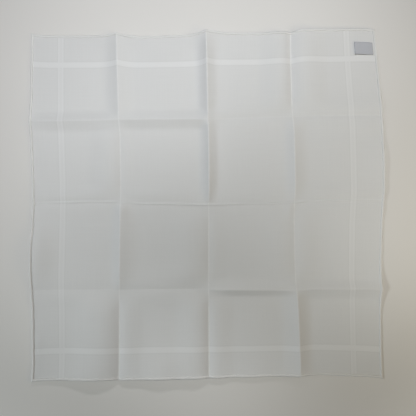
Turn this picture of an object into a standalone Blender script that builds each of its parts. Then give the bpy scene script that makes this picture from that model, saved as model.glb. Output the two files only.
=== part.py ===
"""A fine white cotton handkerchief, opened out flat on a table.

It was pressed and folded to a quarter of each side, so three creases cross it each way and divide it into
sixteen panels. Between the creases the cloth lies on the table. Along a ridge crease it stands up like a
low tent, along a valley crease it touches the table and rises softly on both sides, and the rolled hem
lifts in shallow arches. A folded label is sewn into the hem near the upper right corner.

Lengths are in millimetres until metres() turns them into Blender's units. +X is to the right, +Y away
from the reader and +Z up. Columns count from the left and rows from the far side.
"""

import math
from collections import namedtuple

import bmesh
import bpy

MM = 0.001

# Driving sizes
SIDE = 450.0
PANELS = 4
PANEL = SIDE / PANELS
SHEET = 1.2
HEM_WIDTH = 3.5
HEM_THICKNESS = 2.2
HEM_STEP = 0.8
CLEARANCE = 0.3

# How far from a crease the rows of mesh points lie, up to the middle of a panel
CREASE_STATIONS = (0.0, 3.5, 8.0, 14.0, 22.0, 38.0)

# Where the creases and hems cross: x, y on the table and the lift of the underside over it.
# One row of the table for each crease line from the far hem to the near one, five crossings in each.
Crossing = namedtuple("Crossing", "x y lift")
CROSSINGS = (
    (Crossing(-227.5, 222.0, 1.0), Crossing(-116.5, 222.0, 6.0), Crossing(-2.0, 224.5, 9.0),
     Crossing(107.0, 223.5, 0.5), Crossing(215.0, 227.0, 1.5)),
    (Crossing(-229.5, 108.0, 5.0), Crossing(-113.5, 109.5, 6.2), Crossing(0.5, 110.5, 7.5),
     Crossing(109.5, 114.5, 0.8), Crossing(226.0, 116.0, 0.3)),
    (Crossing(-225.5, 3.0, 0.3), Crossing(-112.0, 4.5, 0.5), Crossing(1.5, 1.5, 1.0),
     Crossing(112.0, 4.5, 0.5), Crossing(228.5, 7.5, 0.5)),
    (Crossing(-228.2, -109.5, 0.5), Crossing(-113.5, -108.5, 0.8), Crossing(1.5, -107.5, 0.5),
     Crossing(114.0, -108.0, 5.5), Crossing(225.0, -107.5, 5.5)),
    (Crossing(-227.0, -227.5, 2.0), Crossing(-114.0, -225.0, 0.5), Crossing(2.0, -222.0, 1.5),
     Crossing(119.0, -219.5, 6.0), Crossing(226.5, -223.5, 0.3)),
)
print("highest crossing, mm:", max(crossing.lift for line in CROSSINGS for crossing in line))

# A fold is one panel's length of a crease or hem. middle is its lift halfway, run how fast the lift of a
# crossing dies away along it and bow how far it bends to the right or away from the reader. sag tells how a
# ridge's sides hang: 1 is straight, 2 steepest at the crest. The last four are its two sides: how far each
# reaches, and how high the cloth rises there beside a valley. before is the side towards the left or the far
# hem, after the side towards the right or the near one.
Fold = namedtuple("Fold", "middle run bow sag reach_before rise_before reach_after rise_after")

# Folds that run away from the reader: one row for each line from left to right, far panel first
UPRIGHT_FOLDS = (
    (Fold(0.8, 40.0, 0.0, 1.5, 30.0, 0.0, 30.0, 0.0), Fold(0.5, 35.0, -0.3, 1.5, 30.0, 0.0, 30.0, 0.0),
     Fold(0.5, 45.0, -0.7, 1.5, 26.0, 0.0, 26.0, 0.0), Fold(0.3, 40.0, 0.7, 1.5, 25.0, 0.0, 25.0, 0.0)),
    (Fold(6.3, 40.0, 0.0, 1.7, 20.0, 0.0, 22.0, 0.0), Fold(0.2, 32.0, 0.6, 1.5, 28.0, 3.7, 12.0, 0.9),
     Fold(5.6, 30.0, 0.5, 1.8, 13.0, 0.0, 26.0, 0.0), Fold(0.2, 30.0, 0.0, 1.5, 46.0, 5.4, 22.0, 2.0)),
    (Fold(9.0, 40.0, 0.3, 1.9, 14.5, 0.0, 16.0, 0.0), Fold(7.5, 35.0, 0.8, 1.9, 12.0, 0.0, 13.0, 0.0),
     Fold(0.2, 30.0, 0.0, 1.5, 40.0, 2.6, 16.0, 0.8), Fold(0.2, 30.0, 0.0, 1.5, 30.0, 3.8, 22.0, 2.2)),
    (Fold(0.2, 30.0, -0.6, 1.5, 30.0, 5.6, 34.0, 5.6), Fold(5.4, 30.0, 1.0, 1.9, 15.0, 0.0, 21.0, 0.0),
     Fold(0.2, 35.0, -0.8, 1.5, 34.0, 1.7, 24.0, 1.4), Fold(6.2, 40.0, 0.6, 1.6, 22.0, 0.0, 19.0, 0.0)),
    (Fold(1.0, 40.0, 0.6, 1.5, 30.0, 0.0, 30.0, 0.0), Fold(0.5, 40.0, 1.2, 1.5, 25.0, 0.0, 25.0, 0.0),
     Fold(0.6, 40.0, -1.0, 1.5, 28.0, 0.0, 28.0, 0.0), Fold(0.4, 35.0, -0.8, 1.5, 25.0, 0.0, 25.0, 0.0)),
)
print("upright folds:", sum(len(line) for line in UPRIGHT_FOLDS))

# Folds that run from left to right: one row for each line from the far hem to the near one, left panel first
LEVEL_FOLDS = (
    (Fold(0.5, 35.0, -2.6, 1.5, 25.0, 0.0, 25.0, 0.0), Fold(0.5, 35.0, -4.0, 1.5, 25.0, 0.0, 25.0, 0.0),
     Fold(1.5, 40.0, -1.2, 1.5, 25.0, 0.0, 25.0, 0.0), Fold(3.0, 45.0, 2.1, 1.5, 35.0, 0.0, 35.0, 0.0)),
    (Fold(5.6, 40.0, 0.0, 1.2, 12.5, 0.0, 14.0, 0.0), Fold(5.6, 40.0, 0.6, 1.2, 13.5, 0.0, 12.5, 0.0),
     Fold(0.2, 32.0, 0.8, 1.5, 24.0, 1.7, 16.0, 1.0), Fold(0.2, 30.0, 1.0, 1.5, 22.0, 1.7, 16.0, 1.0)),
    (Fold(0.1, 30.0, 1.0, 1.5, 18.0, 1.6, 18.0, 1.0), Fold(0.1, 30.0, -0.8, 1.5, 22.0, 1.0, 14.0, 0.4),
     Fold(0.1, 30.0, -0.6, 1.5, 24.0, 1.1, 14.0, 0.4), Fold(0.1, 30.0, 1.0, 1.5, 20.0, 1.5, 18.0, 1.0)),
    (Fold(0.2, 30.0, 0.4, 1.5, 28.0, 0.9, 18.0, 1.0), Fold(0.2, 30.0, 0.4, 1.5, 24.0, 1.1, 18.0, 0.9),
     Fold(3.8, 35.0, -0.6, 1.3, 16.0, 0.0, 8.5, 0.0), Fold(4.6, 40.0, 0.8, 1.3, 12.0, 0.0, 13.0, 0.0)),
    (Fold(0.8, 45.0, 1.7, 1.5, 30.0, 0.0, 30.0, 0.0), Fold(0.6, 45.0, 0.4, 1.5, 42.0, 0.0, 42.0, 0.0),
     Fold(0.5, 40.0, 0.0, 1.5, 28.0, 0.0, 28.0, 0.0), Fold(0.3, 35.0, 1.6, 1.5, 25.0, 0.0, 25.0, 0.0)),
)
print("level folds:", sum(len(line) for line in LEVEL_FOLDS))

# %% [markdown]
# Between the folds the cloth isn't idle either. It arches along the hems, where nothing holds it down, and
# beside some crossings the pressed cloth has small dents. A puff is a smooth bump with its own length and
# width. It is placed by its distance from the left and the far hem of the flat cloth.

# Puffs where the cloth stands up away from any crease: place as distances from the left and far hems
Puff = namedtuple("Puff", "across down half_width half_length lift")
PUFFS = (
    Puff(56.0, 56.0, 34.0, 34.0, 0.6),
    Puff(168.0, 56.0, 34.0, 34.0, 0.9),
    Puff(394.0, 168.0, 34.0, 34.0, 0.8),
    Puff(281.0, 394.0, 34.0, 30.0, 0.8),
    Puff(60.0, 450.0, 34.0, 22.0, 3.2),
    Puff(166.0, 450.0, 36.0, 32.0, 6.5),
    Puff(281.0, 450.0, 34.0, 28.0, 2.6),
    Puff(5.0, 291.0, 21.0, 34.0, 8.5),
    Puff(450.0, 176.0, 22.0, 32.0, 3.0),
    Puff(372.0, 146.0, 26.0, 12.0, 0.8),
)

# The label lies in the far right panel, with its sewn ends against the right hem
LABEL_COLUMN = 3
LABEL_ROW = 0
LABEL_LENGTH = 23.0
LABEL_WIDTH = 15.5
LABEL_FROM_FAR_HEM = 18.5
LABEL_LAYER = 1.0
LABEL_GAP = 0.6
LABEL_RISE = 1.4
LABEL_STEPS = 8
LABEL_FOLD_STEPS = 4
LABEL_STEPS_ACROSS = 4


def metres(x, y, z):
    return (x * MM, y * MM, z * MM)


def mix(start, end, share):
    return start + (end - start) * share


def tent(distance, reach, sag):
    """The side of a ridge: 1 on the crease, 0 at its foot."""
    return max(0.0, 1.0 - distance / reach) ** sag


def shoulder_rise(distance, reach):
    """The cloth beside a valley: 0 on the crease, 1 at half the reach, 0 again at one and a half."""
    share = 2.0 * distance / reach
    return 2.25 * share * max(0.0, 1.0 - share / 3.0) ** 2


def fade(distance):
    """0 at a crossing and 1 beyond it, so that the cloth beside a valley doesn't rise at its crossings."""
    share = min(1.0, max(0.0, distance / 30.0))
    return share * share * (3.0 - 2.0 * share)


def line_lift(fold, start_lift, end_lift, share):
    """Lift of the cloth on a crease or hem, at a share of the way along it."""
    from_start = share * PANEL
    from_end = (1.0 - share) * PANEL
    start_weight = max(0.0, 1.0 - from_start / fold.run) ** 2
    end_weight = max(0.0, 1.0 - from_end / fold.run) ** 2
    return (fold.middle + (start_lift - fold.middle) * start_weight
            + (end_lift - fold.middle) * end_weight)


def bow_shape(share):
    return 1.0 - (2.0 * share - 1.0) ** 4


def panel_corners(column, row):
    """The crossings at a panel's far left, far right, near left and near right corners."""
    far, near = CROSSINGS[row], CROSSINGS[row + 1]
    return far[column], far[column + 1], near[column], near[column + 1]


def panel_place(column, row, u, v):
    """Where a point of a panel lies on the table. u runs to the right and v towards the reader."""
    far_left, far_right, near_left, near_right = panel_corners(column, row)
    x = mix(mix(far_left.x, far_right.x, u), mix(near_left.x, near_right.x, u), v)
    y = mix(mix(far_left.y, far_right.y, u), mix(near_left.y, near_right.y, u), v)
    left, right = UPRIGHT_FOLDS[column][row], UPRIGHT_FOLDS[column + 1][row]
    far, near = LEVEL_FOLDS[row][column], LEVEL_FOLDS[row + 1][column]
    x += bow_shape(v) * mix(left.bow, right.bow, u)
    y += bow_shape(u) * mix(far.bow, near.bow, v)
    return x, y


def puff_lift(across, down):
    lift = 0.0
    for puff in PUFFS:
        away = math.hypot((across - puff.across) / puff.half_width, (down - puff.down) / puff.half_length)
        if away < 2.5:
            lift += puff.lift * math.exp(-away * away)
    return lift


def panel_lift(column, row, u, v):
    """Lift of the underside over the table at a point of a panel."""
    far_left, far_right, near_left, near_right = panel_corners(column, row)
    left, right = UPRIGHT_FOLDS[column][row], UPRIGHT_FOLDS[column + 1][row]
    far, near = LEVEL_FOLDS[row][column], LEVEL_FOLDS[row + 1][column]
    from_left, from_right = u * PANEL, (1.0 - u) * PANEL
    from_far, from_near = v * PANEL, (1.0 - v) * PANEL
    on_left = tent(from_left, left.reach_after, left.sag)
    on_right = tent(from_right, right.reach_before, right.sag)
    on_far = tent(from_far, far.reach_after, far.sag)
    on_near = tent(from_near, near.reach_before, near.sag)

    lift = line_lift(left, far_left.lift, near_left.lift, v) * on_left
    lift += line_lift(right, far_right.lift, near_right.lift, v) * on_right
    lift += line_lift(far, far_left.lift, far_right.lift, u) * on_far
    lift += line_lift(near, near_left.lift, near_right.lift, u) * on_near
    # A crossing is counted by both of its folds, so once too often
    lift -= far_left.lift * on_left * on_far + far_right.lift * on_right * on_far
    lift -= near_left.lift * on_left * on_near + near_right.lift * on_right * on_near

    beside_upright = left.rise_after * shoulder_rise(from_left, left.reach_after)
    beside_upright += right.rise_before * shoulder_rise(from_right, right.reach_before)
    beside_level = far.rise_after * shoulder_rise(from_far, far.reach_after)
    beside_level += near.rise_before * shoulder_rise(from_near, near.reach_before)
    far_fade = 1.0 if row == 0 else fade(from_far)
    near_fade = 1.0 if row == PANELS - 1 else fade(from_near)
    left_fade = 1.0 if column == 0 else fade(from_left)
    right_fade = 1.0 if column == PANELS - 1 else fade(from_right)
    lift += beside_upright * far_fade * near_fade + beside_level * left_fade * right_fade
    return max(0.0, lift + puff_lift((column + u) * PANEL, (row + v) * PANEL))


def stations():
    """Rows of mesh points across the whole cloth, as distances from one hem.

    They crowd at the creases, and two more stand at each hem's inner side."""
    places = []
    for line in range(PANELS + 1):
        for step in CREASE_STATIONS:
            places.append(line * PANEL - step)
            places.append(line * PANEL + step)
    places += [(panel + 0.5) * PANEL for panel in range(PANELS)]
    places += [HEM_WIDTH, SIDE - HEM_WIDTH]
    inner_step = HEM_WIDTH + HEM_STEP
    places = [place for place in places
              if inner_step < place < SIDE - inner_step or place in (HEM_WIDTH, SIDE - HEM_WIDTH)]
    places += [0.0, SIDE, inner_step, SIDE - inner_step]
    return sorted(set(places))


def fabric(name, colour, roughness):
    material = bpy.data.materials.new(name)
    material.use_nodes = True
    shader = material.node_tree.nodes["Principled BSDF"]
    shader.inputs["Base Color"].default_value = colour
    shader.inputs["Roughness"].default_value = roughness
    shader.inputs["Metallic"].default_value = 0.0
    return material


def add_object(name, mesh, collection, material):
    piece = bpy.data.objects.new(name, mesh)
    collection.objects.link(piece)
    mesh.materials.append(material)
    mesh.shade_smooth()
    return piece


def thicken(piece, thickness, offset):
    """Give a one-surface sheet its thickness. An offset of 1 leaves that surface underneath."""
    solidify = piece.modifiers.new("Thickness", "SOLIDIFY")
    solidify.thickness = thickness * MM
    solidify.offset = offset
    solidify.use_rim = True
    return solidify


def make_cloth(collection):
    """The square cloth with its creases and rolled hem. Returns the shift that centres it."""
    places = stations()
    segments = len(places) - 1
    grid = bmesh.new()
    bmesh.ops.create_grid(grid, x_segments=segments, y_segments=segments, size=segments / 2.0)
    hem_points = []
    for point in grid.verts:
        across = places[round(point.co.x + segments / 2.0)] / PANEL
        down = places[round(segments / 2.0 - point.co.y)] / PANEL
        column, row = min(int(across), PANELS - 1), min(int(down), PANELS - 1)
        u, v = across - column, down - row
        x, y = panel_place(column, row, u, v)
        point.co = metres(x, y, panel_lift(column, row, u, v))
        from_hem = min(across, down, PANELS - across, PANELS - down) * PANEL
        if from_hem < HEM_WIDTH + HEM_STEP / 2.0:
            hem_points.append(point.index)
    grid.normal_update()

    xs = [point.co.x for point in grid.verts]
    ys = [point.co.y for point in grid.verts]
    shift_x = -(min(xs) + max(xs)) / 2.0
    shift_y = -(min(ys) + max(ys)) / 2.0
    bmesh.ops.translate(grid, verts=grid.verts, vec=(shift_x, shift_y, 0.0))

    mesh = bpy.data.meshes.new("cloth")
    grid.to_mesh(mesh)
    grid.free()
    cloth = add_object("cloth", mesh, collection, fabric("White cotton lawn", (0.86, 0.86, 0.85, 1.0), 0.85))
    hem = cloth.vertex_groups.new(name="rolled hem")
    hem.add(hem_points, 1.0, "REPLACE")
    thickness = thicken(cloth, HEM_THICKNESS, 1.0)
    thickness.vertex_group = hem.name
    thickness.thickness_vertex_group = SHEET / HEM_THICKNESS
    return shift_x, shift_y


def label_section():
    """The folded ribbon seen from its side: distance from the hem and height over its lowest middle line."""
    radius = (LABEL_LAYER + LABEL_GAP) / 2.0
    straight = LABEL_LENGTH - radius - LABEL_LAYER / 2.0
    lower = [(straight * step / LABEL_STEPS, 0.0) for step in range(LABEL_STEPS + 1)]
    upper = [(distance, 2.0 * radius) for distance, height in reversed(lower)]
    bend = []
    for step in range(1, LABEL_FOLD_STEPS):
        share = step / LABEL_FOLD_STEPS
        height = radius * (1.0 - (1.0 - 2.0 * share))
        half_width = (radius ** 2 - (height - radius) ** 2) ** 0.5
        bend.append((straight + half_width, height))
    return lower + bend + upper


def make_label(collection, shift):
    """The folded ribbon label, sewn ends at the right hem, its fold a little off the cloth."""
    section = label_section()
    segments = len(section) - 1
    ribbon = bmesh.new()
    bmesh.ops.create_grid(ribbon, x_segments=segments, y_segments=LABEL_STEPS_ACROSS, size=1.0)
    for point in ribbon.verts:
        distance, height = section[round((point.co.x + 1.0) / 2.0 * segments)]
        across = (1.0 - point.co.y) / 2.0 * LABEL_WIDTH
        from_hem = HEM_WIDTH + HEM_STEP + CLEARANCE + distance
        u = 1.0 - from_hem / PANEL
        v = (LABEL_FROM_FAR_HEM + across) / PANEL
        x, y = panel_place(LABEL_COLUMN, LABEL_ROW, u, v)
        cloth_top = panel_lift(LABEL_COLUMN, LABEL_ROW, u, v) + SHEET
        rise = LABEL_RISE * (distance / LABEL_LENGTH) ** 2
        point.co = metres(x, y, cloth_top + 1.5 * CLEARANCE + LABEL_LAYER / 2.0 + rise + height)
    bmesh.ops.translate(ribbon, verts=ribbon.verts, vec=(shift[0], shift[1], 0.0))
    mesh = bpy.data.meshes.new("label")
    ribbon.to_mesh(mesh)
    ribbon.free()
    satin = fabric("Pale grey satin ribbon", (0.58, 0.59, 0.63, 1.0), 0.45)
    label = add_object("label", mesh, collection, satin)
    thicken(label, LABEL_LAYER, 0.0)


def clear_scene():
    for item in list(bpy.data.objects):
        bpy.data.objects.remove(item, do_unlink=True)


def build():
    clear_scene()
    collection = bpy.data.collections.new("Handkerchief")
    bpy.context.scene.collection.children.link(collection)
    shift = make_cloth(collection)
    make_label(collection, shift)


build()
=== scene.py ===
# %% [markdown]
# # A white cotton handkerchief, opened out on a table
#
# This is a lesson in making thin, pressed cloth in Blender. A handkerchief looks like a plain white square,
# so everything that makes it real is small: the creases left by folding it to a quarter of each side, the
# rolled hem, the satin bars woven beside each edge and the weave itself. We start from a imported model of
# the same handkerchief, which fixes its size and place, and build a finer sheet over its folds.
#
# Lengths in the tables are millimetres, and `MM` turns them into Blender's metres. +X is to the right, +Y
# away from us and +Z up. Columns of panels count from the left, and rows from the far hem.

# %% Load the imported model
import math
from collections import namedtuple

import bmesh
import bpy
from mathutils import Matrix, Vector, noise


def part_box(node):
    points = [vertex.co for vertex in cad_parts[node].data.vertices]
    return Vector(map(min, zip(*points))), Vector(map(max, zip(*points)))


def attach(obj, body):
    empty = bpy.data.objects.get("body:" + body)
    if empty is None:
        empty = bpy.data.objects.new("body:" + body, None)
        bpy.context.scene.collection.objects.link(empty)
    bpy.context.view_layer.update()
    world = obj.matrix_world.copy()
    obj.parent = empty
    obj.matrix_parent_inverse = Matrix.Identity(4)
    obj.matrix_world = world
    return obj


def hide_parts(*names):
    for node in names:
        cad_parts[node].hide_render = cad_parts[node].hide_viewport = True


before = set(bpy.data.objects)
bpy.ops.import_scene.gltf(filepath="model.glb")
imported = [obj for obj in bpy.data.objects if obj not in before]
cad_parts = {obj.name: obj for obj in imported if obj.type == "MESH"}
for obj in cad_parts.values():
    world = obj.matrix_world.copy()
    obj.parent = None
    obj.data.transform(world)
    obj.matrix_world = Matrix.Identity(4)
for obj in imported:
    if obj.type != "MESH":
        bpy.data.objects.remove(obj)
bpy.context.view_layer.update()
cloth_low, cloth_high = (Vector(corner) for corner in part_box("cloth"))
print("packed nodes:", len(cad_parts))
print("packed cloth, mm:", [round(side * 1000.0, 1) for side in cloth_high - cloth_low])

# %% [markdown]
# ## Sizes
#
# The cloth was cut and hemmed to 450 mm. Four panels each way come from folding it in half, and in half
# again, in both directions. Real lawn is a quarter of a millimetre thick, so a sheet that thin is what we
# build; a hand-rolled hem is a little tube of the same cloth.

# %% Sizes
MM = 0.001
SIDE = 450.0
PANELS = 4
PANEL = SIDE / PANELS
LAWN = 0.26
HEM_WIDTH = 3.5
HEM_HEIGHT = 1.3
print("panel side, mm:", PANEL)

# %% [markdown]
# ## Where the creases run
#
# Each crease line bends a little from crossing to crossing, and each crossing stands up or touches the table.
# A pressed fold has a law: where four creases meet, three bend one way and one the other. So three ridges
# and a valley lift their crossing, and three valleys and a ridge leave it on the table.

# %% The crossings: x, y on the table and lift over it, five on each line, from the far hem to the near one
Crossing = namedtuple("Crossing", "x y lift")
CROSSINGS = (
    (Crossing(-227.5, 222.0, 1.0), Crossing(-116.5, 222.0, 6.0), Crossing(-2.0, 224.5, 9.0),
     Crossing(107.0, 223.5, 0.5), Crossing(215.0, 227.0, 1.5)),
    (Crossing(-229.5, 108.0, 5.0), Crossing(-113.5, 109.5, 6.2), Crossing(0.5, 110.5, 7.5),
     Crossing(109.5, 114.5, 0.8), Crossing(226.0, 116.0, 0.3)),
    (Crossing(-225.5, 3.0, 0.3), Crossing(-112.0, 4.5, 0.5), Crossing(1.5, 1.5, 1.0),
     Crossing(112.0, 4.5, 0.5), Crossing(228.5, 7.5, 0.5)),
    (Crossing(-228.2, -109.5, 0.5), Crossing(-113.5, -108.5, 0.8), Crossing(1.5, -107.5, 0.5),
     Crossing(114.0, -108.0, 5.5), Crossing(225.0, -107.5, 5.5)),
    (Crossing(-227.0, -227.5, 2.0), Crossing(-114.0, -225.0, 0.5), Crossing(2.0, -222.0, 1.5),
     Crossing(119.0, -219.5, 6.0), Crossing(226.5, -223.5, 0.3)),
)
print("highest crossing, mm:", max(crossing.lift for line in CROSSINGS for crossing in line))

# %% [markdown]
# A fold is one panel's length of a crease or hem. `middle` is its lift halfway along, `run` how fast the lift
# of a crossing dies away along it, and `bow` how far the line bends to the right or away from us. `sag` tells
# how a ridge's sides hang: 1 is straight, 2 a curve that is steepest at the crest. The last four are its two
# sides: how far each reaches, and how high the cloth rises there beside a valley. `before` is the side
# towards the left or the far hem, `after` the side towards the right or the near one.

# %% The folds that run away from us: one row of the table for each line, from left to right
Fold = namedtuple("Fold", "middle run bow sag reach_before rise_before reach_after rise_after")
UPRIGHT_FOLDS = (
    (Fold(0.8, 40.0, 0.0, 1.5, 30.0, 0.0, 30.0, 0.0), Fold(0.5, 35.0, -0.3, 1.5, 30.0, 0.0, 30.0, 0.0),
     Fold(0.5, 45.0, -0.7, 1.5, 26.0, 0.0, 26.0, 0.0), Fold(0.3, 40.0, 0.7, 1.5, 25.0, 0.0, 25.0, 0.0)),
    (Fold(6.3, 40.0, 0.0, 1.7, 20.0, 0.0, 22.0, 0.0), Fold(0.2, 32.0, 0.6, 1.5, 28.0, 3.7, 12.0, 0.9),
     Fold(5.6, 30.0, 0.5, 1.8, 13.0, 0.0, 26.0, 0.0), Fold(0.2, 30.0, 0.0, 1.5, 46.0, 5.4, 22.0, 2.0)),
    (Fold(9.0, 40.0, 0.3, 1.9, 14.5, 0.0, 16.0, 0.0), Fold(7.5, 35.0, 0.8, 1.9, 12.0, 0.0, 13.0, 0.0),
     Fold(0.2, 30.0, 0.0, 1.5, 40.0, 2.6, 16.0, 0.8), Fold(0.2, 30.0, 0.0, 1.5, 30.0, 3.8, 22.0, 2.2)),
    (Fold(0.2, 30.0, -0.6, 1.5, 30.0, 5.6, 34.0, 5.6), Fold(5.4, 30.0, 1.0, 1.9, 15.0, 0.0, 21.0, 0.0),
     Fold(0.2, 35.0, -0.8, 1.5, 34.0, 1.7, 24.0, 1.4), Fold(6.2, 40.0, 0.6, 1.6, 22.0, 0.0, 19.0, 0.0)),
    (Fold(1.0, 40.0, 0.6, 1.5, 30.0, 0.0, 30.0, 0.0), Fold(0.5, 40.0, 1.2, 1.5, 25.0, 0.0, 25.0, 0.0),
     Fold(0.6, 40.0, -1.0, 1.5, 28.0, 0.0, 28.0, 0.0), Fold(0.4, 35.0, -0.8, 1.5, 25.0, 0.0, 25.0, 0.0)),
)
print("upright folds:", sum(len(line) for line in UPRIGHT_FOLDS))

# %% The folds that run from left to right: one row of the table for each line, far hem first
LEVEL_FOLDS = (
    (Fold(0.5, 35.0, -2.6, 1.5, 25.0, 0.0, 25.0, 0.0), Fold(0.5, 35.0, -4.0, 1.5, 25.0, 0.0, 25.0, 0.0),
     Fold(1.5, 40.0, -1.2, 1.5, 25.0, 0.0, 25.0, 0.0), Fold(3.0, 45.0, 2.1, 1.5, 35.0, 0.0, 35.0, 0.0)),
    (Fold(5.6, 40.0, 0.0, 1.2, 12.5, 0.0, 14.0, 0.0), Fold(5.6, 40.0, 0.6, 1.2, 13.5, 0.0, 12.5, 0.0),
     Fold(0.2, 32.0, 0.8, 1.5, 24.0, 1.7, 16.0, 1.0), Fold(0.2, 30.0, 1.0, 1.5, 22.0, 1.7, 16.0, 1.0)),
    (Fold(0.1, 30.0, 1.0, 1.5, 18.0, 1.6, 18.0, 1.0), Fold(0.1, 30.0, -0.8, 1.5, 22.0, 1.0, 14.0, 0.4),
     Fold(0.1, 30.0, -0.6, 1.5, 24.0, 1.1, 14.0, 0.4), Fold(0.1, 30.0, 1.0, 1.5, 20.0, 1.5, 18.0, 1.0)),
    (Fold(0.2, 30.0, 0.4, 1.5, 28.0, 0.9, 18.0, 1.0), Fold(0.2, 30.0, 0.4, 1.5, 24.0, 1.1, 18.0, 0.9),
     Fold(3.8, 35.0, -0.6, 1.3, 16.0, 0.0, 8.5, 0.0), Fold(4.6, 40.0, 0.8, 1.3, 12.0, 0.0, 13.0, 0.0)),
    (Fold(0.8, 45.0, 1.7, 1.5, 30.0, 0.0, 30.0, 0.0), Fold(0.6, 45.0, 0.4, 1.5, 42.0, 0.0, 42.0, 0.0),
     Fold(0.5, 40.0, 0.0, 1.5, 28.0, 0.0, 28.0, 0.0), Fold(0.3, 35.0, 1.6, 1.5, 25.0, 0.0, 25.0, 0.0)),
)
print("level folds:", sum(len(line) for line in LEVEL_FOLDS))

# %% [markdown]
# Between the folds the cloth isn't idle either. It arches along the hems, where nothing holds it down, and
# beside some crossings the pressed cloth has small dents. A puff is a smooth bump with its own length and
# width. It is placed by its distance from the left and the far hem of the flat cloth.

# %% Puffs: places where the cloth stands up or sinks away from any crease
Puff = namedtuple("Puff", "across down half_width half_length lift")
PUFFS = (
    Puff(56.0, 56.0, 34.0, 34.0, 0.6),
    Puff(168.0, 56.0, 34.0, 34.0, 0.9),
    Puff(394.0, 168.0, 34.0, 34.0, 0.8),
    Puff(281.0, 394.0, 34.0, 30.0, 0.8),
    Puff(60.0, 450.0, 34.0, 22.0, 3.2),
    Puff(166.0, 450.0, 36.0, 32.0, 6.5),
    Puff(281.0, 450.0, 34.0, 28.0, 2.6),
    Puff(5.0, 291.0, 21.0, 34.0, 8.5),
    Puff(450.0, 176.0, 22.0, 32.0, 3.0),
    Puff(115.0, 234.0, 7.0, 9.0, 2.4),
    Puff(233.0, 96.0, 4.5, 5.0, -0.9),
    Puff(346.0, 121.0, 6.0, 4.5, 1.0),
    Puff(318.0, 331.0, 12.0, 3.5, 0.8),
    Puff(9.0, 402.0, 5.0, 5.0, 1.0),
    Puff(28.0, 398.0, 9.0, 4.5, 0.7),
    Puff(331.0, 234.0, 5.0, 9.0, 1.5),
    Puff(426.0, 130.0, 12.0, 7.0, 0.9),
    Puff(372.0, 146.0, 26.0, 12.0, 0.8),
    Puff(150.0, 214.0, 34.0, 7.0, 0.7),
)
print("puffs:", len(PUFFS))

# %% [markdown]
# ## The shape of one panel
#
# Inside a panel the cloth is the sum of what its four folds do to it. A ridge holds it up like the side of a
# tent; a valley touches the table, and the cloth beside it swells up and settles again. Every crossing is
# counted by two folds, so it is taken off once. The crest of a real fold is never a knife edge: `CREST`
# rounds it, and that narrow level strip is what shows as a thin bright line along a ridge.

# %% Functions for one fold
CREST = 0.8
FADE_REACH = 30.0


def mix(start, end, share):
    return start + (end - start) * share


def soft_distance(distance):
    """Distance from a crease whose very line is rounded off."""
    return math.sqrt(distance * distance + CREST * CREST) - CREST


def tent(distance, reach, sag):
    """The side of a ridge: 1 on the crease, 0 at its foot."""
    return max(0.0, 1.0 - soft_distance(distance) / reach) ** sag


def shoulder_rise(distance, reach):
    """The cloth beside a valley: 0 on the crease, 1 at half the reach, 0 again at one and a half.

    The factor 2.25 brings its top to 1.
    """
    share = 2.0 * soft_distance(distance) / reach
    return 2.25 * share * max(0.0, 1.0 - share / 3.0) ** 2


def fade(distance):
    """0 at a crossing and 1 beyond it, so that the cloth beside a valley doesn't rise at its crossings."""
    share = min(1.0, max(0.0, distance / FADE_REACH))
    return share * share * (3.0 - 2.0 * share)


def line_lift(fold, start_lift, end_lift, share):
    """Lift of the cloth on a crease or hem, at a share of the way along it."""
    from_start = share * PANEL
    from_end = (1.0 - share) * PANEL
    start_weight = max(0.0, 1.0 - from_start / fold.run) ** 2
    end_weight = max(0.0, 1.0 - from_end / fold.run) ** 2
    return (fold.middle + (start_lift - fold.middle) * start_weight
            + (end_lift - fold.middle) * end_weight)


def bow_shape(share):
    return 1.0 - (2.0 * share - 1.0) ** 4


print("a ridge's side, 5 mm from its crest:", round(tent(5.0, 15.0, 1.5), 2))


# %% Functions for one panel: u runs to the right and v towards us
def panel_corners(column, row):
    """The crossings at a panel's far left, far right, near left and near right corners."""
    far, near = CROSSINGS[row], CROSSINGS[row + 1]
    return far[column], far[column + 1], near[column], near[column + 1]


def panel_place(column, row, u, v):
    """Where a point of a panel lies on the table."""
    far_left, far_right, near_left, near_right = panel_corners(column, row)
    x = mix(mix(far_left.x, far_right.x, u), mix(near_left.x, near_right.x, u), v)
    y = mix(mix(far_left.y, far_right.y, u), mix(near_left.y, near_right.y, u), v)
    left, right = UPRIGHT_FOLDS[column][row], UPRIGHT_FOLDS[column + 1][row]
    far, near = LEVEL_FOLDS[row][column], LEVEL_FOLDS[row + 1][column]
    x += bow_shape(v) * mix(left.bow, right.bow, u)
    y += bow_shape(u) * mix(far.bow, near.bow, v)
    return x, y


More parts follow.
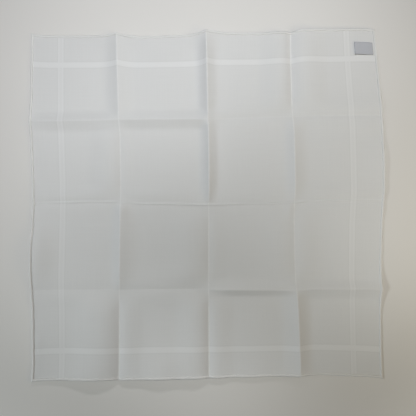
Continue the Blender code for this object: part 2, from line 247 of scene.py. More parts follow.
def panel_lift(column, row, u, v):
    """Lift of the cloth over the table at a point of a panel."""
    far_left, far_right, near_left, near_right = panel_corners(column, row)
    left, right = UPRIGHT_FOLDS[column][row], UPRIGHT_FOLDS[column + 1][row]
    far, near = LEVEL_FOLDS[row][column], LEVEL_FOLDS[row + 1][column]
    from_left, from_right = u * PANEL, (1.0 - u) * PANEL
    from_far, from_near = v * PANEL, (1.0 - v) * PANEL
    on_left = tent(from_left, left.reach_after, left.sag)
    on_right = tent(from_right, right.reach_before, right.sag)
    on_far = tent(from_far, far.reach_after, far.sag)
    on_near = tent(from_near, near.reach_before, near.sag)

    lift = line_lift(left, far_left.lift, near_left.lift, v) * on_left
    lift += line_lift(right, far_right.lift, near_right.lift, v) * on_right
    lift += line_lift(far, far_left.lift, far_right.lift, u) * on_far
    lift += line_lift(near, near_left.lift, near_right.lift, u) * on_near
    lift -= far_left.lift * on_left * on_far + far_right.lift * on_right * on_far
    lift -= near_left.lift * on_left * on_near + near_right.lift * on_right * on_near

    beside_upright = left.rise_after * shoulder_rise(from_left, left.reach_after)
    beside_upright += right.rise_before * shoulder_rise(from_right, right.reach_before)
    beside_level = far.rise_after * shoulder_rise(from_far, far.reach_after)
    beside_level += near.rise_before * shoulder_rise(from_near, near.reach_before)
    far_fade = 1.0 if row == 0 else fade(from_far)
    near_fade = 1.0 if row == PANELS - 1 else fade(from_near)
    left_fade = 1.0 if column == 0 else fade(from_left)
    right_fade = 1.0 if column == PANELS - 1 else fade(from_right)
    lift += beside_upright * far_fade * near_fade + beside_level * left_fade * right_fade

    return max(0.0, lift)


print("lift in the middle of the first panel, mm:", round(panel_lift(0, 0, 0.5, 0.5), 2))

# %% [markdown]
# Even pressed cloth isn't level between its creases. A slow, faint noise lifts it by a fraction of a
# millimetre, and around each crossing, where many layers were pressed into one corner, it stays a little
# crumpled. The middle crease was pressed first and hardest, so a fine tuck stands along it. Blender's noise
# gives the same values every time; the last number of each call picks a pattern of its own.

# %% Functions for the whole cloth
PUFF_REACH = 2.5


def puff_lift(across, down):
    """Lift by the puffs, each cut off at PUFF_REACH times its own size."""
    lift = 0.0
    for puff in PUFFS:
        away = math.hypot((across - puff.across) / puff.half_width, (down - puff.down) / puff.half_length)
        if away < PUFF_REACH:
            lift += puff.lift * math.exp(-away * away)
    return lift


UNEVEN = 0.35
SLOW_SIZE = 46.0
FINE_SIZE = 17.0
FINE_SHARE = 0.22
CRUMPLE = 0.55
CRUMPLE_SIZE = 5.0
CRUMPLE_REACH = 9.0
TUCK = 1.3
TUCK_WIDTH = 1.2
TUCK_WANDER = 0.8
TUCK_WANDER_SIZE = 31.0
TUCK_SWELL = 0.6
TUCK_SWELL_SIZE = 24.0


def patches(across, down, size, pattern):
    """Noise over the cloth, in patches of this size."""
    return noise.noise(Vector((across / size, down / size, pattern)))


def waves(along, size, pattern):
    """Noise along a line, in waves of this size."""
    return noise.noise(Vector((along / size, pattern, 0.0)))


def unevenness(across, down):
    """Lift by the slow noise, the tuck on the middle crease and the crumples at the crossings."""
    slow = patches(across, down, SLOW_SIZE, 3.7)
    fine = patches(across, down, FINE_SIZE, 9.1)
    lift = UNEVEN * (0.5 + 0.5 * slow + FINE_SHARE * fine)
    tuck_place = SIDE / 2.0 + TUCK_WANDER * waves(across, TUCK_WANDER_SIZE, 2.2)
    from_tuck = (down - tuck_place) / TUCK_WIDTH
    fullness = 0.75 + TUCK_SWELL * waves(across, TUCK_SWELL_SIZE, 8.4)
    lift += TUCK * fullness * math.exp(-from_tuck * from_tuck)
    from_upright = abs(across - PANEL * round(across / PANEL))
    from_level = abs(down - PANEL * round(down / PANEL))
    from_crossing = math.hypot(from_upright, from_level)
    crumple = 0.5 + 0.5 * patches(across, down, CRUMPLE_SIZE, 1.3)
    return lift + CRUMPLE * crumple * math.exp(-(from_crossing / CRUMPLE_REACH) ** 2)


def cloth_point(across, down):
    """A point of the flat cloth, measured from its left and far hems, where it lies: x, y and lift."""
    column = min(max(int(across / PANEL), 0), PANELS - 1)
    row = min(max(int(down / PANEL), 0), PANELS - 1)
    u = across / PANEL - column
    v = down / PANEL - row
    x, y = panel_place(column, row, u, v)
    lift = panel_lift(column, row, u, v) + puff_lift(across, down)
    return Vector((x, y, max(0.0, lift) + unevenness(across, down)))


print("the cloth's middle, mm:", [round(value, 1) for value in cloth_point(SIDE / 2.0, SIDE / 2.0)])


# %% [markdown]
# ## The sheet
#
# The sheet starts as a flat grid. Its rows of points crowd at the creases, where the cloth turns sharply, and
# spread out in the middle of the panels, where it is nearly level. The first and last rows are hidden in the
# rolled hem. A `bmesh` grid gives the faces, and each point is then moved to its place on the folded cloth.
# A UV map keeps where every point was on the flat cloth, so that the weave and the satin bars follow the
# folds.

# %% Rows of mesh points
CREASE_STEPS = (0.0, 0.45, 1.0, 1.8, 2.8, 4.0, 5.5, 7.3, 9.3, 11.5, 14.0, 17.0, 20.5, 24.5, 29.0, 34.0,
                39.5, 45.0, 50.6)
HEM_INSET = HEM_WIDTH * 0.4
FIRST_ROW_GAP = 0.3


def stations():
    """Distances from one hem of all rows of mesh points."""
    places = [(panel + 0.5) * PANEL for panel in range(PANELS)]
    for line in range(PANELS + 1):
        for step in CREASE_STEPS:
            places += [line * PANEL - step, line * PANEL + step]
    nearest = HEM_INSET + FIRST_ROW_GAP
    inner = [place for place in places if nearest < place < SIDE - nearest]
    return sorted(set([HEM_INSET, SIDE - HEM_INSET] + inner))


PLACES = stations()
SEGMENTS = len(PLACES) - 1
print("rows of points each way:", len(PLACES))

# %% [markdown]
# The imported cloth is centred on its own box, so our cloth gets the same centre. Every finished piece is
# moved and turned to metres inside its mesh, and its object stays at the origin.

# %% Helpers that place and link finished pieces
UV_NAME = "flat cloth"
centre = (cloth_low + cloth_high) / 2.0
outline = [cloth_point(along, edge) for edge in (0.0, SIDE) for along in PLACES]
outline += [cloth_point(edge, along) for edge in (0.0, SIDE) for along in PLACES]
middle_x = (min(point.x for point in outline) + max(point.x for point in outline)) / 2.0
middle_y = (min(point.y for point in outline) + max(point.y for point in outline)) / 2.0
SHIFT = Vector((centre.x / MM - middle_x, centre.y / MM - middle_y, 0.0))
print("shift onto the packed cloth, mm:", [round(value, 2) for value in SHIFT])


def finish_piece(name, shape, flat_place=None):
    """Turn a bmesh in millimetres into an object at the origin, with its place in its mesh."""
    if flat_place:
        uv_layer = shape.loops.layers.uv.new(UV_NAME)
        for face in shape.faces:
            for corner in face.loops:
                corner[uv_layer].uv = flat_place[corner.vert]
    bmesh.ops.translate(shape, verts=shape.verts, vec=SHIFT)
    bmesh.ops.scale(shape, verts=shape.verts, vec=(MM, MM, MM))
    mesh = bpy.data.meshes.new(name)
    shape.to_mesh(mesh)
    shape.free()
    mesh.shade_smooth()
    piece = bpy.data.objects.new(name, mesh)
    bpy.context.scene.collection.objects.link(piece)
    print(name, "has", len(mesh.polygons), "faces")
    return piece


# %% Make the sheet
sheet_shape = bmesh.new()
bmesh.ops.create_grid(sheet_shape, x_segments=SEGMENTS, y_segments=SEGMENTS, size=SEGMENTS / 2.0)
sheet_uv = {}
for point in sheet_shape.verts:
    across = PLACES[round(point.co.x + SEGMENTS / 2.0)]
    down = PLACES[round(SEGMENTS / 2.0 - point.co.y)]
    sheet_uv[point] = (across / SIDE, 1.0 - down / SIDE)
    point.co = cloth_point(across, down)
    point.co.z += LAWN / 2.0
sheet = finish_piece("lawn_sheet", sheet_shape, sheet_uv)
lawn_thickness = sheet.modifiers.new("Lawn", "SOLIDIFY")
lawn_thickness.thickness = LAWN * MM
lawn_thickness.offset = 0.0

# %% [markdown]
# ## The rolled hem
#
# The raw edge was rolled into a little tube between finger and thumb, and sewn down with a slanting stitch
# every few millimetres. Each stitch pinches the roll. The tube is another grid, wrapped around the edge: one
# way it runs along all four sides, the other way round the roll. Merging its doubled ends closes it.

# %% Make the rolled hem
STITCH_PITCH = 4.5
PINCH = 0.16
PINCH_LENGTH = 0.7
ROLL_UNEVEN = 0.16
ROLL_UNEVEN_SIZE = 7.0
ROLL_WANDER = 0.3
ROLL_WANDER_SIZE = 11.0
ROLL_SOLE = 0.03
FULLER_LEFT = 0.8
HEM_STEPS_A_SIDE = 400
HEM_STEPS_AROUND = 10
SEAM_WITHIN = 0.01


def hem_place(side, share, inset):
    """A point of the flat cloth at a distance from its edge; sides run left, near, right, far."""
    along = inset + share * (SIDE - 2.0 * inset)
    return ((inset, along), (along, SIDE - inset), (SIDE - inset, SIDE - along), (SIDE - along, inset))[side]


def roll_size(side, share):
    """How full the roll is here: it is pinched at every stitch and uneven in between."""
    distance = (side + share) * SIDE
    from_stitch = abs(distance / STITCH_PITCH % 1.0 - 0.5) * STITCH_PITCH
    pinched = 1.0 - PINCH * math.exp(-(from_stitch / PINCH_LENGTH) ** 2)
    return pinched * (1.0 + ROLL_UNEVEN * waves(distance, ROLL_UNEVEN_SIZE, 5.2))


def roll_height(side, share):
    """The left hem is rolled fuller than the others between its corners."""
    fuller = FULLER_LEFT * bow_shape(share) if side == 0 else 0.0
    return (HEM_HEIGHT + fuller) * roll_size(side, share)


def roll_wander(side, share):
    """How far the roll lies inside the cloth's edge here."""
    distance = (side + share) * SIDE
    return ROLL_WANDER * (1.0 + patches(distance, 0.0, ROLL_WANDER_SIZE, 7.7))


def roll_point(side, share, angle):
    """A point on the rolled hem; the angle goes round the roll, whose underside is nearly level."""
    size = roll_size(side, share)
    inset = HEM_WIDTH / 2.0 * (1.0 + size * math.cos(angle)) + roll_wander(side, share)
    point = cloth_point(*hem_place(side, share, inset))
    point.z += roll_height(side, share) * max(ROLL_SOLE, math.sin(angle))
    return point


hem_shape = bmesh.new()
hem_steps = 4 * HEM_STEPS_A_SIDE
bmesh.ops.create_grid(hem_shape, x_segments=hem_steps, y_segments=HEM_STEPS_AROUND, size=1.0)
hem_uv = {}
for point in hem_shape.verts:
    along = (point.co.x + 1.0) / 2.0 * 4.0
    around = (point.co.y + 1.0) / 2.0
    side = min(int(along + 1e-5), 3)
    hem_uv[point] = (along, around * HEM_WIDTH * math.pi / SIDE)
    point.co = roll_point(side, min(1.0, max(0.0, along - side)), around * 2.0 * math.pi)
hem = finish_piece("rolled_hem", hem_shape, hem_uv)
closing = bmesh.new()
closing.from_mesh(hem.data)
bmesh.ops.remove_doubles(closing, verts=closing.verts, dist=SEAM_WITHIN * MM)
bmesh.ops.recalc_face_normals(closing, faces=closing.faces)
closing.to_mesh(hem.data)
closing.free()
hem.data.shade_smooth()

# %% [markdown]
# The stitches are short slanting threads that go over the inner side of the roll and into the cloth. There
# are four hundred, so each has only a few dozen faces.

# %% Make the hem stitches
THREAD = 0.34
STITCH_SLANT = 1.5
STITCH_STEPS = 5
THREAD_SIDES = 6
STITCH_START = 1.4
STITCH_END = 4.2
THREAD_TAPER = 0.5
LOOK_ALONG = 0.05
MERGE_WITHIN = 0.004


def stitch_middle(side, share, part):
    """The middle of a stitch's thread: part goes from 0 on top of the roll to 1 in the cloth."""
    inset = mix(STITCH_START, STITCH_END, part)
    over = min(1.0, abs((inset - HEM_WIDTH / 2.0) / (HEM_WIDTH / 2.0)))
    height = roll_height(side, share) * math.sqrt(1.0 - over * over)
    sink = THREAD * part ** 6
    shift_along = STITCH_SLANT * (part - 0.5) / SIDE
    place = hem_place(side, share + shift_along, inset + roll_wander(side, share))
    point = cloth_point(*place)
    point.z += max(height, LAWN) - sink
    return point


stitches_shape = bmesh.new()
stitch_count = int(SIDE / STITCH_PITCH)
for side in range(4):
    for number in range(stitch_count):
        share = (number + 0.5) / stitch_count
        thread = bmesh.ops.create_grid(
            stitches_shape, x_segments=STITCH_STEPS, y_segments=THREAD_SIDES, size=1.0)
        start = stitch_middle(side, share, 0.0)
        end = stitch_middle(side, share, 1.0)
        sideways = Vector((start.y - end.y, end.x - start.x, 0.0)).normalized()
        for point in thread["verts"]:
            part = (point.co.x + 1.0) / 2.0
            angle = (point.co.y + 1.0) * math.pi
            here = stitch_middle(side, share, part)
            ahead = stitch_middle(side, share, min(1.0, part + LOOK_ALONG))
            behind = stitch_middle(side, share, max(0.0, part - LOOK_ALONG))
            upwards = sideways.cross(ahead - behind).normalized()
            taper = 1.0 - THREAD_TAPER * (2.0 * part - 1.0) ** 4
            radius = THREAD / 2.0 * taper
            point.co = here + (sideways * math.cos(angle) + upwards * math.sin(angle)) * radius
bmesh.ops.remove_doubles(stitches_shape, verts=stitches_shape.verts, dist=MERGE_WITHIN)
bmesh.ops.holes_fill(stitches_shape, edges=stitches_shape.edges, sides=THREAD_SIDES)
bmesh.ops.recalc_face_normals(stitches_shape, faces=stitches_shape.faces)
stitches = finish_piece("hem_stitches", stitches_shape)

# %% [markdown]
# ## The label
#
# A short piece of satin ribbon is folded double, and its two ends are sewn down beside the rolled hem near the
# far right corner. It is one strip of mesh that runs out along the cloth, turns at its fold and comes back on
# top, where it lies close at the sewn ends and opens towards the fold. `LABEL_SEWN` is how much of each end is
# sewn down. The ribbon is measured from the same hems as the imported label.

# %% Make the label
LABEL_LENGTH = 23.0
LABEL_WIDTH = 15.5
LABEL_FROM_FAR_HEM = 18.5
LABEL_FROM_HEM = 6.4
LABEL_SEWN = 0.8
RIBBON = 0.28
RIBBON_GAP = 0.7
RIBBON_RISE = 1.6
RIBBON_STEPS = 24
RIBBON_BEND_STEPS = 10
RIBBON_STEPS_ACROSS = 22
RIBBON_OPENS = 9.0
RIBBON_CLOSEST = 0.18
RIBBON_CURL = 0.5
SELVEDGE = 0.9
SELVEDGE_HEIGHT = 0.10


def ribbon_section():
    """The folded ribbon from its side: distance from its sewn ends, and height of its middle."""
    radius = (RIBBON + RIBBON_GAP) / 2.0
    straight = LABEL_LENGTH + LABEL_SEWN - radius
    section = [(straight * step / RIBBON_STEPS, 0.0) for step in range(RIBBON_STEPS + 1)]
    for step in range(1, RIBBON_BEND_STEPS):
        angle = math.pi * (step / RIBBON_BEND_STEPS - 0.5)
        section.append((straight + radius * math.cos(angle), radius * (1.0 + math.sin(angle))))
    upper = [(distance, 2.0 * radius * min(1.0, (distance / RIBBON_OPENS) ** 0.7 + RIBBON_CLOSEST))
             for distance, _ in reversed(section[:RIBBON_STEPS + 1])]
    return section + upper


ribbon_path = ribbon_section()
ribbon_segments = len(ribbon_path) - 1
label_shape = bmesh.new()
bmesh.ops.create_grid(label_shape, x_segments=ribbon_segments, y_segments=RIBBON_STEPS_ACROSS, size=1.0)
label_uv = {}
for point in label_shape.verts:
    step = round((point.co.x + 1.0) / 2.0 * ribbon_segments)
    across_share = (1.0 - point.co.y) / 2.0
    distance, height = ribbon_path[step]
    label_uv[point] = (step / ribbon_segments, across_share * LABEL_WIDTH / (2.0 * LABEL_LENGTH))
    from_hem = LABEL_FROM_HEM - LABEL_SEWN + distance
    from_edge = min(across_share, 1.0 - across_share) * LABEL_WIDTH
    down = LABEL_FROM_FAR_HEM + across_share * LABEL_WIDTH
    place = cloth_point(SIDE - from_hem, down)
    share = distance / (LABEL_LENGTH + LABEL_SEWN)
    curl = RIBBON_CURL * share * (2.0 * across_share - 1.0) ** 2
    place.z += LAWN + RIBBON + RIBBON_RISE * share ** 2 + height * (1.0 + curl)
    if from_edge < SELVEDGE:
        place.z += SELVEDGE_HEIGHT * math.sin(math.pi * from_edge / SELVEDGE)
    point.co = place
label = finish_piece("ribbon_label", label_shape, label_uv)
ribbon_thickness = label.modifiers.new("Ribbon", "SOLIDIFY")
ribbon_thickness.thickness = RIBBON * MM
ribbon_thickness.offset = 0.0

# %% [markdown]
# ## Finishes
#
# Two effects are used more than once, so each is a node group. `plain_weave` makes the tiny over-and-under
# bumps of the threads and the streaks of thicker yarns. `satin_bar` marks a stripe at a distance from the
# hem. The small helpers below save writing the same lines for every node.

# %% Helpers for node trees
def feed(tree, socket, value):
    """Give an input a value, or link it to another node's output."""
    if isinstance(value, bpy.types.NodeSocket):
        tree.links.new(value, socket)
    else:
        socket.default_value = value


def add_node(tree, kind, **inputs):
    """Add a node; its inputs are named by socket, spaces as underscores."""
    node = tree.nodes.new(kind)
    for name, value in inputs.items():
        feed(tree, node.inputs[name.replace("_", " ")], value)
    return node


def calculate(tree, operation, *values):
    """A Math node's output, from numbers or other outputs."""
    node = tree.nodes.new("ShaderNodeMath")
    node.operation = operation
    for socket, value in zip(node.inputs, values):
        feed(tree, socket, value)
    return node.outputs["Value"]


def soft_step(tree, value, start, end, top=1.0):
    """0 where the value is at its start, `top` at its end, and a smooth change in between."""
    step = add_node(tree, "ShaderNodeMapRange", Value=value, From_Min=start, From_Max=end, To_Max=top)
    step.interpolation_type = "SMOOTHSTEP"
    return step.outputs["Result"]


def new_group(name, inputs, outputs):
    """A shader node group with named sockets; returns its tree, its input node and its output node."""
    tree = bpy.data.node_groups.new(name, "ShaderNodeTree")
    for socket_name, socket_type, value in inputs:
        socket = tree.interface.new_socket(socket_name, in_out="INPUT", socket_type=socket_type)
        if value is not None:
            socket.default_value = value
    for socket_name in outputs:
        tree.interface.new_socket(socket_name, in_out="OUTPUT", socket_type="NodeSocketFloat")
    return tree, tree.nodes.new("NodeGroupInput"), tree.nodes.new("NodeGroupOutput")


def use_group(tree, group, **inputs):
    node = tree.nodes.new("ShaderNodeGroup")
    node.node_tree = group
    for name, value in inputs.items():
        feed(tree, node.inputs[name], value)
    return node


print("shader node groups so far:", len(bpy.data.node_groups))


# %% The weave group
LAWN_THREADS = 1250.0
RIBBON_THREADS = 160.0
OVER_UNDER = 0.25
YARNS_ACROSS = 420.0
YARNS_ALONG = 9.0
tree, given, result = new_group(
    "plain_weave",
    (("Flat", "NodeSocketVector", None), ("Threads", "NodeSocketFloat", LAWN_THREADS)),
    ("Height", "Yarn"))
flat = add_node(tree, "ShaderNodeSeparateXYZ", Vector=given.outputs["Flat"])
threads = []
for axis in ("X", "Y"):
    turns = calculate(tree, "MULTIPLY", flat.outputs[axis], given.outputs["Threads"])
    threads.append(calculate(tree, "SINE", calculate(tree, "MULTIPLY", turns, math.pi)))
crossing = calculate(tree, "MULTIPLY", *threads)
bumps = calculate(tree, "MULTIPLY_ADD", crossing, OVER_UNDER, calculate(tree, "ABSOLUTE", crossing))
tree.links.new(bumps, result.inputs["Height"])
streaks = []
for stretch in ((YARNS_ACROSS, YARNS_ALONG, 1.0), (YARNS_ALONG, YARNS_ACROSS, 1.0)):
    stretched = add_node(tree, "ShaderNodeVectorMath", Vector=given.outputs["Flat"])
    stretched.operation = "MULTIPLY"
    stretched.inputs[1].default_value = stretch
    yarn = add_node(tree, "ShaderNodeTexNoise", Vector=stretched.outputs["Vector"], Scale=1.0, Detail=2.0)
    streaks.append(yarn.outputs["Fac"])
tree.links.new(calculate(tree, "MULTIPLY", calculate(tree, "ADD", *streaks), 0.5), result.inputs["Yarn"])
weave_group = tree
print("nodes in the weave group:", len(tree.nodes))

# %% [markdown]
# A bar needs three masks: the bar itself, a thin line along each of its sides where the ground weave is a
# little more open, and its core, which is duller in the upright bars. All come from the distance to the
# bar's middle line, so one group serves all four.

# %% The satin bar group
BAR_WIDTH = 6.8
BAR_SOFTNESS = 0.25
OPEN_LINE_OFF = 1.1
OPEN_LINE_END = 0.9
OPEN_LINE_FULL = 0.2
CORE_START = 1.5
CORE_FULL = 2.3
tree, given, result = new_group(
    "satin_bar", (("Distance", "NodeSocketFloat", 0.0), ("Place", "NodeSocketFloat", 0.0)),
    ("Mask", "Edge", "Core"))
off_centre = calculate(tree, "ABSOLUTE", calculate(
    tree, "SUBTRACT", given.outputs["Distance"], given.outputs["Place"]))
inside = calculate(tree, "SUBTRACT", BAR_WIDTH / 2.0, off_centre)
from_open_line = calculate(tree, "ABSOLUTE", calculate(tree, "ADD", inside, OPEN_LINE_OFF))
tree.links.new(soft_step(tree, inside, -BAR_SOFTNESS, BAR_SOFTNESS), result.inputs["Mask"])
tree.links.new(soft_step(tree, from_open_line, OPEN_LINE_END, OPEN_LINE_FULL), result.inputs["Edge"])
tree.links.new(soft_step(tree, inside, CORE_START, CORE_FULL), result.inputs["Core"])
bar_group = tree
print("node groups:", [group.name for group in bpy.data.node_groups])


# %% [markdown]
# ### Lawn
#
# Fine lawn is matt and lets some light through, so its shader mixes a rough surface with a translucent one.
# The four satin bars are woven, not printed: their threads lie longer on top, so they are whiter and
# smoother than the ground. Their places are distances from the finished edges, read off the UV map. Along
# every crease a thin whiter line is painted: partly the threads that pressing packed tight, partly a painted
# highlight for the light that the pressed crests catch.

# %% The lawn material
BAR_FROM_LEFT = 39.0
BAR_FROM_FAR = 39.0
BAR_FROM_RIGHT = 39.2
BAR_FROM_NEAR = 36.6
THROUGH = 0.12
MATT = 0.8
Woven = namedtuple("Woven", "material tree shader flat weave bump colour")


def new_material(name):
    material = bpy.data.materials.new(name)
    material.use_nodes = True
    return material, material.node_tree, material.node_tree.nodes["Principled BSDF"]


def blend_colours(tree, factor, first, second):
    node = tree.nodes.new("ShaderNodeMix")
    node.data_type = "RGBA"
    tree.links.new(factor, node.inputs["Factor"])
    feed(tree, node.inputs["A"], first)
    feed(tree, node.inputs["B"], second)
    return node.outputs["Result"]


def woven_surface(name, threads, yarn_colours, bump_distance):
    """A material whose colour and bump come from the weave; returns its parts for more work."""
    material, tree, shader = new_material(name)
    flat = add_node(tree, "ShaderNodeUVMap")
    flat.uv_map = UV_NAME
    weave = use_group(tree, weave_group, Flat=flat.outputs["UV"], Threads=threads)
    yarn = add_node(tree, "ShaderNodeMapRange", Value=weave.outputs["Yarn"], From_Min=0.35, From_Max=0.65)
    colour = blend_colours(tree, yarn.outputs["Result"], *yarn_colours)
    tree.links.new(colour, shader.inputs["Base Color"])
    bump = add_node(tree, "ShaderNodeBump", Height=weave.outputs["Height"], Strength=0.5,
                    Distance=bump_distance * MM)
    tree.links.new(bump.outputs["Normal"], shader.inputs["Normal"])
    shader.inputs["Roughness"].default_value = MATT
    shader.inputs["Specular IOR Level"].default_value = 0.2
    return Woven(material, tree, shader, flat, weave, bump, colour)


def let_light_through(tree, shader, colour, share):
    """Mix in a translucent shader, so that some light passes through the cloth."""
    through = tree.nodes.new("ShaderNodeBsdfTranslucent")
    tree.links.new(colour, through.inputs["Color"])
    mixer = tree.nodes.new("ShaderNodeMixShader")
    mixer.inputs["Fac"].default_value = share
    tree.links.new(shader.outputs["BSDF"], mixer.inputs[1])
    tree.links.new(through.outputs["BSDF"], mixer.inputs[2])
    tree.links.new(mixer.outputs["Shader"], tree.nodes["Material Output"].inputs["Surface"])


LAWN_COLOURS = ((0.85, 0.855, 0.862, 1.0), (0.87, 0.875, 0.882, 1.0))
SATIN_COLOUR = (0.912, 0.917, 0.927, 1.0)
OPEN_COLOUR = (0.80, 0.805, 0.81, 1.0)
# Painted highlight along the creases: this whiter colour stands partly for pressed threads and partly for
# light caught by the crests.
CREASE_HIGHLIGHT_COLOUR = (0.99, 0.995, 1.0, 1.0)
CREASE_HIGHLIGHT_WIDTH = 1.1
LEVEL_CREASE_HIGHLIGHT = 0.25
# How much of the satin's whiteness the upright bars get: a painted difference of sheen between the two ways
# the floats lie.
UPRIGHT_SHADED_SATIN = 0.85
CORE_LOSS = 0.5
OPEN_SHARE = 0.35
SATIN_GLOSS = 0.25
SATIN_FLATTENS = 0.7
lawn = woven_surface("cotton_lawn", LAWN_THREADS, LAWN_COLOURS, 0.05)
tree = lawn.tree
flat_xy = add_node(tree, "ShaderNodeSeparateXYZ", Vector=lawn.flat.outputs["UV"])
across_mm = calculate(tree, "MULTIPLY", flat_xy.outputs["X"], SIDE)
up_mm = calculate(tree, "MULTIPLY", flat_xy.outputs["Y"], SIDE)
pairs = []
for distance, places in ((across_mm, (BAR_FROM_LEFT, SIDE - BAR_FROM_RIGHT)),
                         (up_mm, (BAR_FROM_NEAR, SIDE - BAR_FROM_FAR))):
    two_bars = [use_group(tree, bar_group, Distance=distance, Place=place) for place in places]
    pairs.append({mask: calculate(tree, "MAXIMUM", *(bar.outputs[mask] for bar in two_bars))
                  for mask in ("Mask", "Edge", "Core")})
upright, level = pairs
# Painted sheen: the upright bars get less of the satin's whiteness than the level ones, whose floats catch
# more of the light; their core is duller still.
upright_sheen_and_core = calculate(tree, "MULTIPLY_ADD", upright["Core"], -CORE_LOSS, UPRIGHT_SHADED_SATIN)
upright_bars = calculate(tree, "MULTIPLY", upright["Mask"], upright_sheen_and_core)
satin = calculate(tree, "MAXIMUM", upright_bars, level["Mask"])
open_line = calculate(tree, "MAXIMUM", upright["Edge"], level["Edge"])
ground = blend_colours(tree, calculate(tree, "MULTIPLY", open_line, OPEN_SHARE), lawn.colour, OPEN_COLOUR)
colour = blend_colours(tree, satin, ground, SATIN_COLOUR)

# Painted highlight: a thin whiter line along every crease, broken up by noise.
crease_highlights = []
for distance, strength in ((across_mm, 1.0), (up_mm, LEVEL_CREASE_HIGHLIGHT)):
    from_crease = calculate(tree, "PINGPONG", distance, PANEL / 2.0)
    crease_highlights.append(soft_step(tree, from_crease, CREASE_HIGHLIGHT_WIDTH, CREASE_HIGHLIGHT_WIDTH * 0.3, strength))
highlight_breakup = add_node(tree, "ShaderNodeTexNoise", Vector=lawn.flat.outputs["UV"], Scale=60.0, Detail=2.0)
crease_highlight_line = calculate(tree, "MULTIPLY", calculate(tree, "MAXIMUM", *crease_highlights), highlight_breakup.outputs["Fac"])
colour = blend_colours(tree, crease_highlight_line, colour, CREASE_HIGHLIGHT_COLOUR)
feed(tree, lawn.shader.inputs["Base Color"], colour)
feed(tree, lawn.shader.inputs["Roughness"], calculate(tree, "MULTIPLY_ADD", satin, -SATIN_GLOSS, MATT))
flattened = calculate(tree, "MULTIPLY_ADD", satin, -SATIN_FLATTENS, 1.0)
feed(tree, lawn.bump.inputs["Height"], calculate(tree, "MULTIPLY", lawn.weave.outputs["Height"], flattened))
let_light_through(tree, lawn.shader, colour, THROUGH)
sheet.data.materials.append(lawn.material)
print("nodes in the lawn material:", len(tree.nodes))

# %% [markdown]
# ### Roll, thread and ribbon
#
# The roll is the same lawn, without bars, and a little greyer because its threads turn away from the light.
# Sewing cotton is a twisted yarn, so a fine wave pattern runs over it. The ribbon is a coarser, smoother
# weave, pale grey, with more shine.

# %% The roll, the threads and the ribbon
ROLL_COLOURS = ((0.80, 0.80, 0.80, 1.0), (0.86, 0.86, 0.86, 1.0))
SEWING_COLOURS = ((0.80, 0.80, 0.80, 1.0), (0.87, 0.87, 0.87, 1.0))
RIBBON_COLOURS = ((0.515, 0.53, 0.58, 1.0), (0.575, 0.59, 0.64, 1.0))
roll = woven_surface("rolled_lawn", LAWN_THREADS, ROLL_COLOURS, 0.06)
hem.data.materials.append(roll.material)

sewing, tree, shader = new_material("sewing_cotton")
twist = add_node(tree, "ShaderNodeTexWave", Scale=900.0, Distortion=1.5)
coordinates = add_node(tree, "ShaderNodeTexCoord")
tree.links.new(coordinates.outputs["Object"], twist.inputs["Vector"])
feed(tree, shader.inputs["Base Color"], blend_colours(tree, twist.outputs["Fac"], *SEWING_COLOURS))
shader.inputs["Roughness"].default_value = 0.6
stitches.data.materials.append(sewing)

ribbon = woven_surface("grey_ribbon", RIBBON_THREADS, RIBBON_COLOURS, 0.03)
ribbon.shader.inputs["Roughness"].default_value = 0.42
ribbon.shader.inputs["Specular IOR Level"].default_value = 0.4
label.data.materials.append(ribbon.material)
print("materials:", [material.name for material in bpy.data.materials])

# %% [markdown]
# ## The table
#
# The cloth lies on a plain pale table. The lamps light only the middle of it, so further away the table
# glows a little itself: seen from the side, it stays pale up to the horizon.

# %% Floor
TABLE_SIDE = 40.0
TABLE_COLOURS = ((0.795, 0.782, 0.767, 1.0), (0.82, 0.807, 0.792, 1.0))
GLOW_MIDDLE = (-0.02, 0.16, 0.0)
GLOW_START = 0.42
GLOW_FULL = 0.78
GLOW = 0.40
bpy.ops.mesh.primitive_plane_add(size=TABLE_SIDE)
floor = bpy.context.object
floor.name = "table_top"
table, tree, shader = new_material("pale_table")
coordinates = add_node(tree, "ShaderNodeTexCoord")
mottle = add_node(tree, "ShaderNodeTexNoise", Vector=coordinates.outputs["Object"], Scale=9.0, Detail=4.0)
feed(tree, shader.inputs["Base Color"], blend_colours(tree, mottle.outputs["Fac"], *TABLE_COLOURS))
shader.inputs["Roughness"].default_value = 0.6
from_lamp = add_node(tree, "ShaderNodeVectorMath", Vector=coordinates.outputs["Object"])
from_lamp.operation = "DISTANCE"
from_lamp.inputs[1].default_value = GLOW_MIDDLE
glow = soft_step(tree, from_lamp.outputs["Value"], GLOW_START, GLOW_FULL, GLOW)
feed(tree, shader.inputs["Emission Strength"], glow)
shader.inputs["Emission Color"].default_value = (0.97, 0.98, 0.96, 1.0)
floor.data.materials.append(table)
print("table side, m:", round(floor.dimensions.x, 1))

# %% [markdown]
# ## Light
#
# White cloth shows its folds only by shade, so the light does the drawing. One soft lamp hangs over the far
# rows. A lower light from the left picks out the creases of the near rows, a narrow one from the far side
# throws the shadow of the arched near hem on the table, and a warm one tints the right side. Their places
# are in metres.

# %% Helpers for lights
def towards(place, target):
    """The turn of a light at a place that shines on a target."""
    return (Vector(target) - Vector(place)).to_track_quat("-Z", "Y").to_euler()


def add_light(name, kind, place, turn, power, colour):
    data = bpy.data.lights.new(name, kind)
    data.energy = power
    data.color = colour
    light = bpy.data.objects.new(name, data)
    bpy.context.scene.collection.objects.link(light)
    light.location = place
    light.rotation_euler = turn
    return light


def spot_light(name, place, turn, width, softness, power, colour):
    light = add_light(name, "SPOT", place, turn, power, colour)
    light.data.spot_size = math.radians(width)
    light.data.spot_blend = 1.0
    light.data.shadow_soft_size = softness
    return light


print("lights so far:", len(bpy.data.lights))


# %% [markdown]
# Light in a real room is never even: something always stands in part of it. A lamp has a node tree of its
# own, so the overhead lamp is dimmed in a few soft ovals. Each is a spherical gradient on the table below,
# found by following the lamp's ray down to the table.

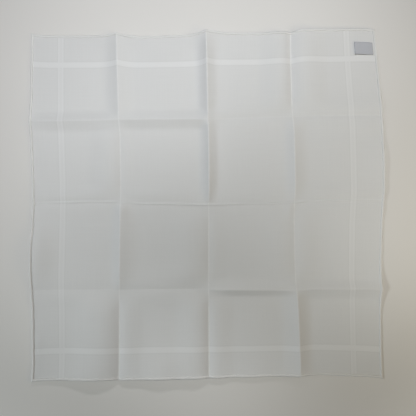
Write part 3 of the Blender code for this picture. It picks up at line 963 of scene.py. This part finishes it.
# %% The lamp overhead, dimmed unevenly
Dimming = namedtuple("Dimming", "x y half_length half_width turn depth")
DIMMINGS = (
    Dimming(-0.015, -0.06, 0.50, 0.24, 25.0, 0.66),
    Dimming(0.11, -0.155, 0.50, 0.13, -29.0, 0.56),
    Dimming(0.08, -0.13, 0.13, 0.06, -8.0, 0.40),
    Dimming(-0.16, -0.26, 0.15, 0.11, 0.0, 0.9),
    Dimming(0.25, 0.17, 0.22, 0.19, 0.0, 0.08),
    Dimming(0.25, -0.25, 0.21, 0.13, 0.0, 0.56),
)
LAMP_PLACE = Vector((-0.03, 0.22, 1.15))
LAMP_TILT = -2.4
AIM_Y = LAMP_PLACE.y + LAMP_PLACE.z * math.tan(math.radians(LAMP_TILT))
lamp = spot_light("lamp_overhead", LAMP_PLACE, (math.radians(LAMP_TILT), 0.0, 0.0), width=53.0,
                  softness=0.09, power=36.5, colour=(0.98, 1.0, 1.01))
lamp.data.use_nodes = True
tree = lamp.data.node_tree
directions = add_node(tree, "ShaderNodeTexCoord")
ray = add_node(tree, "ShaderNodeSeparateXYZ", Vector=directions.outputs["Normal"])
ahead = calculate(tree, "MULTIPLY", ray.outputs["Z"], -1.0 / LAMP_PLACE.z)
table_place = add_node(tree, "ShaderNodeCombineXYZ", X=calculate(tree, "DIVIDE", ray.outputs["X"], ahead),
                       Y=calculate(tree, "DIVIDE", ray.outputs["Y"], ahead))
let_past = 1.0
for dimming in DIMMINGS:
    spread = add_node(tree, "ShaderNodeMapping", Vector=table_place.outputs["Vector"],
                      Location=(dimming.x - LAMP_PLACE.x, dimming.y - AIM_Y, 0.0),
                      Rotation=(0.0, 0.0, math.radians(dimming.turn)),
                      Scale=(dimming.half_length, dimming.half_width, 1.0))
    spread.vector_type = "TEXTURE"
    ball = add_node(tree, "ShaderNodeTexGradient", Vector=spread.outputs["Vector"])
    ball.gradient_type = "SPHERICAL"
    oval = soft_step(tree, ball.outputs["Fac"], 0.0, 1.0)
    past_oval = calculate(tree, "MULTIPLY_ADD", oval, -dimming.depth, 1.0)
    let_past = calculate(tree, "MULTIPLY", let_past, past_oval)
feed(tree, tree.nodes["Emission"].inputs["Strength"], let_past)
print("the lamp is dimmed in", len(DIMMINGS), "places")

# %% [markdown]
# The other lights stand around the table. The room itself is a weak, even light. It is brighter where the
# camera sees it, so that the horizon of a side view stays pale.

# %% The lights at the sides, and the room
LEFT_PLACE = (-1.3, -0.35, 0.85)
FAR_PLACE = (0.1, 1.5, 0.75)
RIGHT_PLACE = (0.52, -0.09, 0.36)
ROOM = 0.065
ROOM_AS_SEEN = 0.38
spot_light("left_light", LEFT_PLACE, towards(LEFT_PLACE, (0.0, -0.25, 0.0)), width=34.0,
           softness=0.12, power=30.5, colour=(0.93, 1.0, 0.99))
spot_light("far_light", FAR_PLACE, towards(FAR_PLACE, (-0.08, -0.33, 0.0)), width=15.0,
           softness=0.07, power=22.0, colour=(1.0, 1.0, 1.0))
right_light = add_light("right_light", "AREA", RIGHT_PLACE, towards(RIGHT_PLACE, (0.0, 0.0, 0.0)),
                        power=0.66, colour=(1.0, 0.87, 0.62))
right_light.data.shape = "DISK"
right_light.data.size = 0.3
right_light.visible_camera = False
world = bpy.data.worlds.new("room")
bpy.context.scene.world = world
world.use_nodes = True
tree = world.node_tree
backdrop = tree.nodes["Background"]
backdrop.inputs["Color"].default_value = (1.0, 0.98, 0.94, 1.0)
seen = add_node(tree, "ShaderNodeLightPath").outputs["Is Camera Ray"]
feed(tree, backdrop.inputs["Strength"], calculate(tree, "MULTIPLY_ADD", seen, ROOM_AS_SEEN, ROOM))
print("lights:", [light.name for light in bpy.data.lights])

# %% [markdown]
# ## Camera
#
# The camera looks straight down. The picture is 416 pixels wide and a pixel covers 1.29 mm of the table, so
# the lens follows from the camera's height.

# %% Camera
PHOTO_SCALE = 1.29
PHOTO_PIXELS = 416.0
CAMERA_HEIGHT = 620.0
SENSOR_WIDTH = 36.0
VIEW_MIDDLE = (0.6, -3.1)
view_centre = (Vector((*VIEW_MIDDLE, CAMERA_HEIGHT)) + SHIFT) * MM
camera_data = bpy.data.cameras.new("camera")
camera = bpy.data.objects.new("camera", camera_data)
bpy.context.scene.collection.objects.link(camera)
camera.location = view_centre
camera_data.sensor_width = SENSOR_WIDTH
camera_data.lens = SENSOR_WIDTH * CAMERA_HEIGHT / (PHOTO_SCALE * PHOTO_PIXELS)
bpy.context.scene.camera = camera
bpy.context.scene.view_settings.view_transform = "Standard"
print("lens, mm:", round(camera_data.lens, 1))

# %% [markdown]
# ## One body
#
# The whole handkerchief is one body. The fine sheet replaces the imported cloth and the ribbon the packed
# label, and the roll and its stitches go into the same body.

for piece, slot in ((sheet, "cloth"), (hem, "cloth"), (stitches, "cloth"), (label, "label")):
    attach(piece, "root")
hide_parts("cloth")
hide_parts("label")
print("cloth as it lies, mm:", [round(side / MM) for side in sheet.dimensions])
